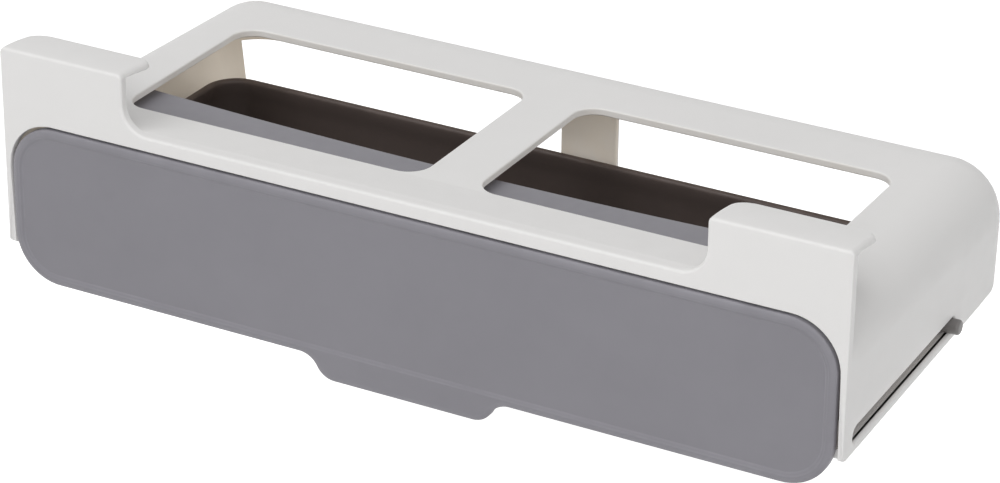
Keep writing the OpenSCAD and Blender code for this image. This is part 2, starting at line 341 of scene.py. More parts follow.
def plastic(name, finish, thin=False):
    """Moulded plastic: soft clouds in its tone, edges painted lighter, and a fine spark-eroded
    grain.

    The tone is the base colour, a few hundredths darker or lighter in clouds some centimetres
    wide. Edges are lighter, by the mesh's own edge mark times a patchy pattern: rubbing and a
    painted highlight. Grain of about half a millimetre and flow marks a few millimetres wide lift
    the surface by a few hundredths of a millimetre, and roughness follows the flow marks. On a
    thin moulding the inner faces get painted warm shade, a warmer and darker tint, and a faint,
    warm emission: painted light that stands in for light soaking through the thin walls.
    """
    mat = bpy.data.materials.get(name)
    if mat:
        return mat
    mat = bpy.data.materials.new(name)
    mat.use_nodes = True
    tree = mat.node_tree
    shader = tree.nodes["Principled BSDF"]
    coords = tree.nodes.new("ShaderNodeTexCoord").outputs["Object"]
    tone = np.array(finish.tone)
    dark = tuple(tone * (1 - finish.clouds))
    light = tuple(np.minimum(tone * (1 + finish.clouds), 1))
    # The colour of edges painted lighter, for rubbing and a painted highlight.
    worn_and_highlit = tuple(np.minimum(tone * (1 + finish.wear), 1))
    clouds = spread(tree, noise(tree, coords, CLOUD_CELLS, 3), 0, 1)
    base = blend_colour(tree, clouds, dark, light)
    # On inner faces: painted warm shade, a warmer and darker tint, and a faint warm emission,
    # painted light that stands in for light soaking through the thin walls.
    if thin:
        inner = attribute(tree, "inner_face")
        base = blend_colour(tree, inner, base, tuple(tone * finish.inner))
        glow = combine(tree, "MULTIPLY", inner, finish.glow)
        feed(tree, shader, {"Emission Strength": glow, "Emission Color": (*finish.inner, 1)})
    # Patchy mark of the edges painted lighter: rubbing and a painted highlight.
    patches = spread(tree, noise(tree, coords, EDGE_PATCH_CELLS, 4), 0.2, 1)
    rubbed_and_highlit = combine(tree, "MULTIPLY", attribute(tree, "edge_wear"), patches)
    flow = noise(tree, coords, finish.grain / FLOW_RATIO, 2)
    grain = noise(tree, coords, finish.grain, 3, 0.6)
    marks = bump(tree, flow, FLOW_BUMP, finish.depth * 2)
    inputs = {
        "Base Color": blend_colour(tree, rubbed_and_highlit, base, worn_and_highlit),
        "Roughness": spread(tree, flow, finish.rough - ROUGH_RANGE, finish.rough + ROUGH_RANGE),
        "IOR": PLASTIC_IOR,
        "Normal": bump(tree, grain, GRAIN_BUMP, finish.depth, Normal=marks),
    }
    feed(tree, shader, inputs)
    return mat


# Sizes and colours


def kind(make, **fixed):
    """Gives a maker of one kind of property, from a name, a description and a default."""
    return lambda name, description, default: make(
        name=name, description=description, default=default, **fixed
    )


# Lengths and levels are in millimetres, and a level is negative below the shelf.
length = kind(bpy.props.FloatProperty, min=0)
level = kind(bpy.props.FloatProperty)
number = kind(bpy.props.IntProperty, min=0)
power = kind(bpy.props.FloatProperty, min=0, unit="POWER")
factor = kind(bpy.props.FloatProperty, min=0, max=1, subtype="FACTOR")
colour = kind(bpy.props.FloatVectorProperty, size=3, min=0, max=1, subtype="COLOR")


def finish_values(tone, clouds, wear, rough, grain, depth):
    """The properties that every finish has."""
    return {
        "tone": colour("Tone", "Colour of the plastic", tone),
        "clouds": factor("Clouds", "How much the tone varies", clouds),
        # How much lighter edges are painted: rubbing and a painted highlight.
        "wear": factor("Edge wear", "How much lighter rubbed edges are", wear),
        "rough": factor("Roughness", "Middle roughness", rough),
        "grain": number("Grain", "Cells of the surface grain in a metre", grain),
        "depth": length("Grain depth", "Height of the surface grain", depth),
    }


class WhiteFinish(bpy.types.PropertyGroup):
    """Finish of the white frame."""

    __annotations__ = finish_values((0.87, 0.86, 0.85), 0.012, 0.05, 0.46, 1500, 0.02)
    # Painted warm shade tints the faces inside the moulding, and a painted emission of this
    # strength there stands in for light soaking through the thin walls.
    inner: colour("Inner tint", "Tint of the faces inside the moulding", (1.0, 0.92, 0.80))
    glow: factor("Glow", "Light that soaks through the thin walls", 0.11)


class GreyFinish(bpy.types.PropertyGroup):
    """Finish of the drawer's front."""

    __annotations__ = finish_values((0.245, 0.238, 0.263), 0.03, 0.35, 0.5, 1700, 0.02)


class DarkFinish(bpy.types.PropertyGroup):
    """Finish of the tray."""

    __annotations__ = finish_values((0.095, 0.074, 0.067), 0.06, 0.6, 0.5, 1300, 0.025)


class PinFinish(bpy.types.PropertyGroup):
    """Finish of the guide pins."""

    __annotations__ = finish_values((0.20, 0.19, 0.185), 0.04, 0.25, 0.38, 1800, 0.012)


class FrameSizes(bpy.types.PropertyGroup):
    """Sizes of the white frame, in millimetres."""

    edge_r: length("Edge radius", "Radius of the soft outer edges", 1.15)
    wall_t: length("Wall", "Thickness of the walls", 2.6)
    plate_t: length("Plate", "Thickness of the top plate", 3.0)
    plate_drop: length("Plate drop", "Drop from the seat to the top plate", 4.6)
    seat_d: length("Seat", "Depth of the flat seat", 2.0)
    rail_d: length("Front rail", "Depth of the front rail", 27.0)
    rear_rail_d: length("Rear rail", "Depth of the rear rail", 42.5)
    side_rail_w: length("Side rail", "Width of each side rail", 32.0)
    rib_w: length("Rib", "Width of the rib between the openings", 22.2)
    opening_r: length("Opening corners", "Radius of the openings' corners", 9.0)
    opening_roll: length("Opening edge", "Radius of the openings' upper edge", 0.7)
    toe_in: length("Toe-in", "How much the walls' lower edge leans in", 4.8)
    toe_top: length("Upper toe-in", "How much the walls' upper part leans in", 2.0)
    shoulder_r: length("Shoulder", "Radius of the side shoulders at the front", 17.0)
    rear_r: length("Rear shoulder", "Radius of the rear shoulder and upper corners", 22.0)
    corner_r: length("Rear corners", "Radius of the lower rear corners", 14.0)
    heel_r: length("Heel", "Radius of the walls' lower rear corner", 17.0)
    leg_r: length("Toe", "Radius of a leg's lower end", 4.0)
    hook_w: length("Hook width", "Width of a hook plate", 52.3)
    hook_t: length("Hook thickness", "Thickness of a hook plate", 2.4)
    hook_reach: length("Hook reach", "How far a hook reaches over the shelf", 20.6)
    hook_lean: length("Hook lean", "How far a hook leans down at its rear edge", 2.9)
    hook_corner_r: length("Hook corners", "Radius of a hook's rear corners", 8.0)
    cut_r: length("Cut", "Radius at the foot of the cut between the hooks", 10.0)
    leg_w: length("Leg", "Width of a leg beside the drawer", 2.6)
    front_top: length("Drawer top", "Distance from the seat to the drawer", 6.4)
    front_gap: length("Drawer gap", "Gap round the drawer's front", 0.9)
    front_r: length("Drawer corners", "Radius of the cut for the drawer", 18.5)
    slot_y0: length("Slot start", "Front end of the slots", 5.4)
    slot_y1: length("Slot stop", "Rear end of the slots", 99.6)
    slot_z0: level("Slot foot", "Height of the slots' lower side", -53.0)
    slot_z1: level("Slot head", "Height of the slots' upper side", -46.8)
    belt_z: level("Belt", "Height where the slots' wall starts", -42.0)
    slot_roll: length("Slot edge", "Radius of the slots' outer edge", 1.2)
    ledge_x: length("Ledge", "Distance of the slots' ledges from the middle", 155.6)
    post_w: length("Post width", "Width of the rear post", 23.6)
    post_y: length("Post place", "Distance from the front to the rear post", 136.0)
    post_r: length("Post edges", "Radius of the long edges of the post and the bar", 0.9)
    bar_h: length("Bar height", "Height of the rear cross-bar", 10.0)
    return_steps: number("Corner posts", "Steps of the rear corners that stay wall", 6)


class FrontSizes(bpy.types.PropertyGroup):
    """Sizes of the drawer's front, in millimetres."""

    height: length("Height", "Height of the panel without its tab", 62.3)
    corner: length("Corner radius", "Radius of the panel's corners", 18.5)
    shoulder: length("Shoulder", "Width of the rounded outer edge", 2.3)
    fall: length("Fall", "How far the outer edge falls back", 1.2)
    step_in: length("Step", "Where the step down to the face starts", 2.5)
    step_w: length("Step width", "Width of the soft step down to the face", 1.9)
    sink: length("Sink", "Depth of the sunk face", 0.8)
    tab_w: length("Tab width", "Width of the tab along its lower edge", 56.0)
    tab_r: length("Tab radius", "Radius of the tab's curves", 8.2)
    lip_t: length("Lip thickness", "Thickness of the lip over the jars", 2.4)
    lip_d: length("Lip depth", "Depth of the lip at its middle", 48.0)
    lip_bow: length("Lip bow", "How much deeper the lip is at its ends", 6.4)


class TraySizes(bpy.types.PropertyGroup):
    """Sizes of the tray, in millimetres."""

    wall: length("Wall", "Thickness of the walls and floor", 2.0)
    bead: length("Bead", "Width and height of the rolled rim", 3.0)
    corner: length("Corner radius", "Radius of the rear corners", 14.0)
    foot: length("Foot radius", "Radius between the walls and the floor", 2.5)
    runner: length("Runner", "How far each side runner stands out", 0.3)


class PinSizes(bpy.types.PropertyGroup):
    """Sizes of a guide pin, in millimetres."""

    radius: length("Radius", "Radius of the pin", 2.8)
    collar: length("Collar radius", "Radius of the collar between tray and wall", 3.0)
    head: length("Head radius", "Radius of the head inside the tray", 3.8)
    head_t: length("Head thickness", "Thickness of the head", 1.4)
    edge: length("Edge radius", "Radius of the pin's outer end", 1.0)


class StageSettings(bpy.types.PropertyGroup):
    """Studio light and floor."""

    drop: length("Floor drop", "Distance from the shelf's underside to the floor", 190.0)
    key: power("Key light", "Power of the key light", 16)
    side: power("Side light", "Power of the side light", 0.12)
    front: power("Front light", "Power of the front light", 10)
    sky: factor("Sky", "Strength of the soft light all round", 0.46)


SETTINGS = {
    "rack_frame": FrameSizes,
    "rack_white": WhiteFinish,
    "rack_grey": GreyFinish,
    "rack_dark": DarkFinish,
    "rack_pin_finish": PinFinish,
    "rack_front": FrontSizes,
    "rack_tray": TraySizes,
    "rack_pins": PinSizes,
    "rack_stage": StageSettings,
}


# Pieces

# Points along a side wall, and how far they stay off the rear corner and a slot's rear end.
SIDE_STEPS = 14
SIDE_MARGIN = 6

# Shares of the rolled edge on a slot's lower, rear, upper and front sides.
SLOT_SHARE = np.array([1.7, 1, 0.5, 1])

# How much the lower end of an opening's rim counts as an inner face, with its painted warm
# shade and painted emission.
RIM_PAINTED_SHADE_AND_GLOW = 0.5

# Edge mark along the walls' lower edge and along the rear windows' upper edge: painted
# lighter, for rubbing and a painted highlight.
FOOT_WEAR_AND_HIGHLIGHT = 0.6
SKIRT_WEAR_AND_HIGHLIGHT = 0.5

# The front rail: depth in the plate, gap to the shoulders, and radius between seat and slope.
RAIL_SUNK = 1
RAIL_GAP = 0.4
RAIL_R = 3

# Insets and heights of the post's lower end, and of the ledges' lower end and upper edge.
POST_END = np.array([(0.8, 0), (0.25, 0.25), (0, 0.8)])
LEDGE_END = np.array([(0.8, 0.2), (0.2, 0.5), (0, 1.1)])
LEDGE_TOP = np.array([(0, -0.7), (0.7, 0)])

# The ledges: front end, reach past the slots, and radius of the rear inner corner.
LEDGE_Y = 0.5
LEDGE_PAST = 4
LEDGE_R = 0.9

# The flange: radii of a leg's inner and outer lower corners, and shares of its soft edge round
# the drawer and on the outer sides.
LEG_INNER_R = 0.3
LEG_OUTER_R = 2.2
CUT_SHARE = 0.25
SIDE_SHARE = 0.35

# The hooks: flat part of the edge, power of the lean, and points along the flanks.
HOOK_FLAT = 0.4
LEAN_POWER = 1.5
HOOK_STEPS = 6
HOOK_MARGIN = 1

# Depth of the panel's back.
PANEL_BACK = -0.1

# The lip: upper face, distance from the tray's sides, radii of its edges and rear corners, and
# points of its bowed edge.
LIP_Z = -10.0
LIP_IN = 5
LIP_EDGE_R = 0.9
LIP_R = 2.5
LIP_STEPS = 45

# The cheeks: lower and upper edge, thickness, corner radius and bevel.
CHEEK_LOW = -27.2
CHEEK_HIGH = -11.2
CHEEK_T = 2
CHEEK_R = 4
CHEEK_BEVEL = 0.6

# Radius of the tray's lower edge and front corners.
TRAY_SOFT = 1.2

# The bosses: how much wider than the pin, how far out of the wall, and bevel.
BOSS_WIDER = 3.6
BOSS_OUT = 0.9
BOSS_BEVEL = 0.4

# The runners: depth in the wall, and radii of the edges and of the squarer ends.
RUNNER_ROOT = 0.5
RUNNER_EDGE = 0.2
RUNNER_R = 1.5

# The pins: rounding of the head, and the collar's bevel and distances from tray and outer end.
HEAD_EDGE = 0.5
HEAD_CORNER = 0.15
COLLAR_BEVEL = 0.3
COLLAR_IN = 5.3
COLLAR_OUT = 6.4


def placing(axis):
    """Gives the placing of flat points on a plane across an axis, at a distance along it."""
    return lambda points, distance: np.insert(points, axis, distance, axis=1)


side_view, front_view, top_view = placing(0), placing(1), placing(2)


def lerp(a, b, t):
    """The point a share t of the way from a to b."""
    return a + (b - a) * t


def half_round(steps=6):
    """Across and down shares of a half circle between two edges: (1 - cos) / 2 and sin."""
    t = np.linspace(0, math.pi, steps + 1)
    return (1 - np.cos(t)) / 2, np.sin(t)


def mouth(roll, depth, steps=6):
    """Rows of a hole's edge: a quarter circle in from the face, a straight wall and a bevel.

    On the quarter circle the hole is wider by roll (1 - sin t) at a depth of roll (1 - cos t).
    """
    t = np.linspace(0, math.pi / 2, steps + 1)
    round_in = np.stack([-roll * (1 - np.sin(t)), roll * (1 - np.cos(t))], 1)
    return np.concatenate([round_in, [(0, depth - BEVEL), (-BEVEL, depth)]])


class Shell:
    """The frame's open box behind the flange, as rings of points that follow its plan.

    A ring runs from the left front corner to the right one, back along the right wall, round
    both rear corners and forward again. Every ring has the same number of points, so any two
    can be blended point by point.
    """

    def __init__(self, s, depth, low, top):
        self.s, self.depth, self.low, self.top = s, depth, low, top
        self.side_y = np.linspace(0, depth - s.rear_r - SIDE_MARGIN, SIDE_STEPS)[1:]
        self.total = 2 + 2 * len(self.side_y) + 2 * (ARC_STEPS + 1)
        self.lean_top = s.toe_top / (depth - s.rear_r)
        self.lean_low = s.toe_in / (depth - s.corner_r)

    def plan(self, front, lean, rear, radius):
        """A ring in plan: half width at the front, lean of the walls, rear line and corners."""
        y = self.side_y
        x = front - lean * y
        corner = (front - lean * rear, rear)
        right = np.concatenate([np.stack([x, y], 1), [corner]])
        left = (right * (-1, 1))[::-1]
        corners = np.concatenate([[(-front, 0), (front, 0)], right, left])
        radii = np.zeros(len(corners))
        radii[[2 + len(y), 3 + len(y)]] = max(radius, ROUND_SLACK)
        return outline(corners, radii)

    def shoulder_radius(self, y):
        """The shoulder's radius grows evenly from the front to the rear corners."""
        share = np.clip(y / (self.depth - self.s.rear_r), 0, 1)
        return lerp(self.s.shoulder_r, self.s.rear_r, share)

    def shoulder(self, wall, plate, steps=12):
        """Rings over the shoulder, from its foot to the flat top, inside by the two thicknesses.

        At an angle t the wall has come in by r (1 - cos t) and risen to r sin t above the foot.
        """
        s, rings = self.s, []
        for t in np.linspace(0, math.pi / 2, steps + 1):
            come = 1 - math.cos(t)
            front = CAD_HALF - wall - (s.shoulder_r - wall) * come
            back = CAD_HALF - wall - self.lean_top * self.depth - (s.rear_r - wall) * come
            rear = self.depth - wall - (s.rear_r - wall) * come
            lean = (front - back) / self.depth
            ring = self.plan(front, lean, rear, (s.rear_r - wall) * math.cos(t))
            r = self.shoulder_radius(ring[:, 1]) - wall
            rings.append(np.column_stack([ring, self.top - plate - r * (1 - math.sin(t))]))
        return np.array(rings)

    def foot(self, wall):
        """The ring along the walls' lower edge, before its rounding."""
        s = self.s
        ring = self.plan(CAD_HALF - wall, self.lean_low, self.depth - wall, s.corner_r - wall)
        return np.column_stack([ring, np.full(len(ring), self.low)])

    def between(self, head, foot, z):
        """Points of the wall between its head and foot rings at heights z."""
        share = (head[:, 2] - z) / (head[:, 2] - foot[:, 2])
        ring = lerp(head, foot, share[:, None])
        ring[:, 2] = z
        return ring

    def heel(self, y):
        """Height of the lower edge: level, then a quarter circle up towards the rear."""
        r = self.s.heel_r
        over = np.clip(y - (self.depth - r), 0, r)
        return self.low + r - np.sqrt(r * r - over * over)

    def wall_x(self, points, depth_in):
        """Lifts points of the side view, y and z, on to the right wall, in by a depth."""
        y, z = points[:, 0], points[:, 1]
        head = self.top - self.shoulder_radius(y)
        share = (head - z) / (head - self.low)
        x = CAD_HALF - lerp(self.lean_top, self.lean_low, share) * y - depth_in
        return np.stack([x, y, z], -1)


def add_shell(out, s, depth, low, top):
    """The box behind the flange: shoulders, walls with their slots, rear corners and openings.

    Outside and inside are each a stack of rings: the shoulder's, one at the belt over the slots,
    and one above the lower edge. A half round joins the two skins along the lower edge and along
    the upper edge of the rear windows. Gives back the numbers of the flat top's two rings.
    """
    shell = Shell(s, depth, low, top)
    t = s.wall_t
    over, under = shell.shoulder(0, 0), shell.shoulder(t, s.plate_t)
    across, down = half_round()
    total = shell.total
    right = np.arange(1, 2 + len(shell.side_y) + s.return_steps + 1)
    slot_end = 1 + int(np.searchsorted(shell.side_y, s.slot_y1 + SIDE_MARGIN)) + 1
    edge_z = shell.heel(shell.foot(0)[:, 1]) + t / 2
    belt_z = np.full(total, s.belt_z)
    walls = []
    for head, wall in ((over[0], 0), (under[0], t)):
        foot = shell.foot(wall)
        walls.append((shell.between(head, foot, belt_z), shell.between(head, foot, edge_z)))
    (belt_out, edge_out), (belt_in, edge_in) = walls
    # The inner skin, with its belt ring, gets the painted warm shade and emission of inner faces.
    outer, inner = out.add(over), out.add(under, 0, 1)
    belts = out.add(belt_out), out.add(belt_in, 0, 1)
    # Across the half rounds, painted warm shade and emission fade in towards the inner skin, and
    # the edges are painted lighter, for rubbing and a painted highlight.
    inside = across[:, None] + np.zeros(total)
    edge = np.array([lerp(edge_out, edge_in, a) for a in across])
    edge[:, :, 2] = edge_z - t / 2 * down[:, None]
    edge = out.add(edge, FOOT_WEAR_AND_HIGHLIGHT, inside)
    skirt = np.array([lerp(over[0], under[0], a) for a in across[1:-1]])
    skirt[:, :, 2] -= t / 4 * down[1:-1, None]
    skirt = out.add(skirt, SKIRT_WEAR_AND_HIGHLIGHT, inside[1:-1])
    skirt = np.concatenate([outer[:1], skirt, inner[:1]])
    ring = (1 + np.arange(total)) % total
    out.grid(outer[:, ring])
    out.grid(inner[:, ring])
    last = right[-1]
    out.grid(skirt[:, last : total + 2 - last])
    for side in (1, -1):
        columns = right if side == 1 else (1 - right) % total
        near, far = columns[: slot_end + 1], columns[slot_end:]
        slot = add_slot(out, s, shell, side)
        for belt, head, foot, rim in zip(belts, (outer[0], inner[0]), (edge[0], edge[-1]), slot):
            out.grid(np.stack([head[columns], belt[columns]]))
            out.grid(np.stack([belt[far], foot[far]]))
            out.fill(np.concatenate([belt[near], foot[near][::-1]]), rim)
        out.grid(edge[:, columns])
        end = columns[-1]
        out.fill(np.array([*skirt[:, end], belts[1][end], *edge[::-1, end], belts[0][end]]))
    right, left = [
        ([edge[0, i], belts[0][i], *outer[:, i]], [*inner[::-1, i], belts[1][i], *edge[:0:-1, i]])
        for i in (1, 0)
    ]
    out.fill(np.array([*right[0], *left[0][::-1], *left[1][::-1], *right[1]]))
    return outer[-1], inner[-1]


def add_slot(out, s, shell, side):
    """A guide slot through a wall, as a band from its outer rim to its inner one."""
    y0, y1, z0, z1 = s.slot_y0, s.slot_y1, s.slot_z0, s.slot_z1
    corners = [(y0, z0), (y1, z0), (y1, z1), (y0, z1)]
    radius = (z1 - z0) / 2 - ROUND_SLACK
    rows = mouth(s.slot_roll, s.wall_t)
    rings = [shell.wall_x(outline(corners, radius, d * SLOT_SHARE), h) for d, h in rows]
    share = np.linspace(0, 1, len(rows))[:, None]
    # The slot's outer rim is painted lighter, for rubbing and a painted highlight, fading inwards.
    slot = out.add(np.stack(rings) * (side, 1, 1), np.clip(1 - 2 * share, 0, 1))
    out.grid(slot, closed=True)
    return slot[0], slot[-1]


def make_frame():
    """The white moulding: the shell with its openings, flange, rail, post, bar and ledges."""
    s = bpy.context.scene.rack_frame
    lo, hi = node_box("frame")
    low, depth, top = lo[2], hi[1], -s.plate_drop
    out = Surface()
    over, under = add_shell(out, s, depth, low, top)
    y0, y1 = s.rail_d, depth - s.rear_rail_d
    x0, x1 = s.rib_w / 2, CAD_HALF - s.side_rail_w
    rows = mouth(s.opening_roll, s.plate_t) * (1, -1) + (0, top)
    # Painted warm shade and emission fade in down an opening's rim.
    inner = np.linspace(0, RIM_PAINTED_SHADE_AND_GLOW, len(rows))[:, None]
    holes = []
    for a, b in ((x0, x1), (-x1, -x0)):
        corners = [(a, y0), (b, y0), (b, y1), (a, y1)]
        holes.append(out.carry(corners, s.opening_r, rows, top_view, inner=inner))
    out.fill(over, holes[0][0], holes[1][0])
    out.fill(under, holes[0][-1], holes[1][-1])
    add_flange(out, s, low, lo[1], hi[2])
    add_rail(out, s, top)
    add_post(out, s, low, top)
    add_ledges(out, s, low, depth)
    add_bar(out, s, low)
    # The white moulding's inner faces get painted warm shade and a painted emission.
    white = plastic("white_plastic", bpy.context.scene.rack_white, thin=True)
    out.piece("frame_moulding", white, "frame", "frame_white", "frame")


def add_rail(out, s, top):
    """The front rail: a flat seat and a slope down to the openings, carried across the rack.

    Both ends come down by a quarter circle, and the foot is sunk in the plate.
    """
    foot, rear = top - RAIL_SUNK, s.rail_d - s.edge_r
    rail = [(0, 0), (0, foot), (rear, foot), (rear, top), (s.seat_d, 0)]
    reach = CAD_HALF - s.rear_r - RAIL_GAP
    ends = quarter(s.plate_drop, reach - s.plate_drop, reach)
    rows = np.concatenate([(ends * (1, -1))[::-1], ends])
    out.slab(rail, [0, 0, 0, 0, RAIL_R], rows, side_view, share=[0, 0, 0, 0.8, 1])


def add_post(out, s, low, top):
    """The post in the middle of the open rear, whose front counts as an inner face: painted warm
    shade and emission.
    """
    x, y0, y1 = s.post_w / 2, s.post_y, s.post_y + s.wall_t
    corners = [(-x, y0), (x, y0), (x, y1), (-x, y1)]
    inner = outline(corners, s.post_r)[:, 1] < y0 + s.wall_t / 2
    rows = [*(POST_END + (0, low)), (0, top - s.plate_t / 2)]
    out.slab(corners, s.post_r, rows, top_view, inner=inner)


def add_ledges(out, s, low, depth):
    """A ledge inside each wall, from near its lower edge up to the slot's lower side."""
    rows = [*(LEDGE_END + (0, low)), *(LEDGE_TOP + (0, s.slot_z0))]
    wall, stop = CAD_HALF - s.wall_t / 2, s.slot_y1 + LEDGE_PAST
    back = wall - stop * s.toe_in / depth
    ledge = np.array([(s.ledge_x, LEDGE_Y), (wall, LEDGE_Y), (back, stop), (s.ledge_x, stop)])
    out.slab(ledge[::-1] * (-1, 1), [LEDGE_R, 0, 0, 0], rows, top_view, share=[1, 0, 0, 1])
    out.slab(ledge, [0, 0, 0, LEDGE_R], rows, top_view, share=[0, 0, 1, 1])


def add_bar(out, s, low):
    """The bar across the open rear, through the post's foot, and inner on its front: painted warm
    shade and emission.
    """
    reach = CAD_HALF - s.toe_in - s.wall_t / 2
    y0, y1, head = s.post_y, s.post_y + s.wall_t, low + s.bar_h
    corners = [(y0, low), (y1, low), (y1, head), (y0, head)]
    inner = outline(corners, s.post_r)[:, 0] < y0 + s.wall_t / 2
    out.slab(corners, s.post_r, [(OVERLAP, -reach), (OVERLAP, reach)], side_view, inner=inner)


def add_flange(out, s, low, front, hook_top):
    """The frame's front: legs, hooks and the band over the drawer, with soft front edges."""
    half, cut, gap = CAD_HALF, CAD_HALF - s.hook_w, CAD_HALF - s.leg_w
    gap_top = s.front_gap - s.front_top
    crown = s.hook_t - HOOK_FLAT
    corners = [(gap, gap_top), (gap, low), (half, low), (half, hook_top), (cut, hook_top), (cut, 0)]
    corners += [(-x, z) for x, z in reversed(corners)]
    radii = [s.front_r, LEG_INNER_R, LEG_OUTER_R, crown, crown, s.cut_r]
    share = [CUT_SHARE, 1, SIDE_SHARE, 1, 1]
    share = [*share, 1, *reversed(share), CUT_SHARE]
    rows = np.concatenate([[(0, OVERLAP)], quarter(s.edge_r, front + s.edge_r, front)])

    def toe(points, y):
        """The front view, with the legs' lower ends rounded back to the walls' lower edge."""
        place = front_view(points, y)
        down = np.clip(low + s.leg_r - place[:, 2], 0, s.leg_r)
        round_y = front + s.leg_r - np.sqrt(s.leg_r**2 - down**2)
        place[:, 1] = np.minimum(np.maximum(place[:, 1], round_y), OVERLAP)
        return place

    out.slab(corners, radii + radii[::-1], rows, toe, share=share)
    under = [(HOOK_FLAT, hook_top - s.hook_t), (0, hook_top - crown)]
    rows = np.concatenate([under, quarter(crown, hook_top - crown, hook_top, 8)[1:]])

    def leaning(points, z):
        """Seen from above, and lowered by lean (y / reach)^1.5, so the plate bends down."""
        place = top_view(points, z)
        place[:, 2] -= s.hook_lean * (place[:, 1] / s.hook_reach) ** LEAN_POWER
        return place

    rear, r = s.hook_reach, s.hook_corner_r
    flank = np.linspace(0, rear - r - HOOK_MARGIN, HOOK_STEPS)[1:]
    radii = [0] * (2 + len(flank)) + [r, r] + [0] * len(flank)
    for side in (-1, 1):
        x0, x1 = sorted((side * cut, side * half))
        corners = [(x0, 0), (x1, 0), *((x1, y) for y in flank), (x1, rear), (x0, rear)]
        corners += [(x0, y) for y in flank[::-1]]
        out.slab(corners, radii, rows, leaning, share=[0] + [1] * (len(corners) - 1))


def make_front():
    """The drawer's front: panel with a raised rim and sunk face, tab, lip and cheeks.

    The panel's outer edge is a quarter ellipse carried round the outline of panel and tab. From
    its crest a step that follows 3f^2 - 2f^3 leads down to the sunk face, round the panel's own
    rounded rectangle, so the tab stays level with the crest.
    """
    s = bpy.context.scene.rack_front
    lo, hi = node_box("drawer_front")
    half, top, foot, face = hi[0], hi[2], lo[2], lo[1]
    low = top - s.height
    turn = math.acos(1 - (low - foot) / (2 * s.tab_r))
    bend = s.tab_r * math.tan(turn / 2)
    inner, outer = s.tab_w / 2 + bend, s.tab_w / 2 + 2 * s.tab_r * math.sin(turn) - bend
    panel = [(-half, low), (half, low), (half, top), (-half, top)]
    tab = [(-outer, low), (-inner, foot), (inner, foot), (outer, low)]
    whole = [panel[0], *tab, *panel[1:]]
    radii = [s.corner] + [s.tab_r] * 4 + [s.corner] * 3
    out = Surface()
    edge = quarter(s.shoulder, face + s.fall, face, 9)
    rows = np.concatenate([[(BEVEL, PANEL_BACK), (0, PANEL_BACK - BEVEL)], edge])
    rim = out.carry(whole, radii, rows, front_view)
    f = np.linspace(0, 1, 9)
    step = np.stack([s.step_in + s.step_w * f, face + s.sink * f * f * (3 - 2 * f)], 1)
    inside = out.carry(panel, s.corner, step, front_view)
    out.fill(rim[0])
    out.fill(rim[-1], inside[0])
    out.fill(inside[-1])
    add_lip(out, s, node_box("tray")[1][0] - LIP_IN)
    grey = plastic("grey_plastic", bpy.context.scene.rack_grey)
    out.piece("drawer_face", grey, "drawer", "front_grey", "drawer_front")


def add_lip(out, s, half):
    """The lip over the jars, whose rear edge is an arc, and a cheek under each of its ends.

    The arc's radius is (half^2 + bow^2) / (2 bow).
    """
    radius = (half**2 + s.lip_bow**2) / (2 * s.lip_bow)
    x = np.linspace(half, -half, LIP_STEPS)[1:-1]
    arc = np.stack([x, s.lip_d + radius - np.sqrt(radius**2 - x * x)], 1)
    rear = s.lip_d + s.lip_bow
    front = [(-half, -ROOT), (half, -ROOT), (half, rear)]
    lip = np.concatenate([front, arc, [(-half, rear)]])
    radii = np.concatenate([[0, 0, LIP_R], 0 * x, [LIP_R]])
    share = np.concatenate([[0], np.ones(len(lip) - 1)])
    z = LIP_Z - s.lip_t
    under = quarter(LIP_EDGE_R, z + LIP_EDGE_R, z, 4)[::-1]
    over = quarter(LIP_EDGE_R, LIP_Z - LIP_EDGE_R, LIP_Z, 4)
    out.slab(lip, radii, np.concatenate([under, over]), top_view, share=share)
    y0, y1, bevel = -ROOT, s.lip_d, CHEEK_BEVEL
    cheek = [(y0, CHEEK_LOW), (y1, CHEEK_LOW), (y1, CHEEK_HIGH), (y0, CHEEK_HIGH)]
    rows = np.array([(bevel, -CHEEK_T), (0, bevel - CHEEK_T), (0, -bevel), (bevel, 0)]) + (0, half)
    for side in (-1, 1):
        out.slab(cheek, [0, CHEEK_R, 0, 0], rows * (1, side), side_view, share=[1, 1, 0, 0])


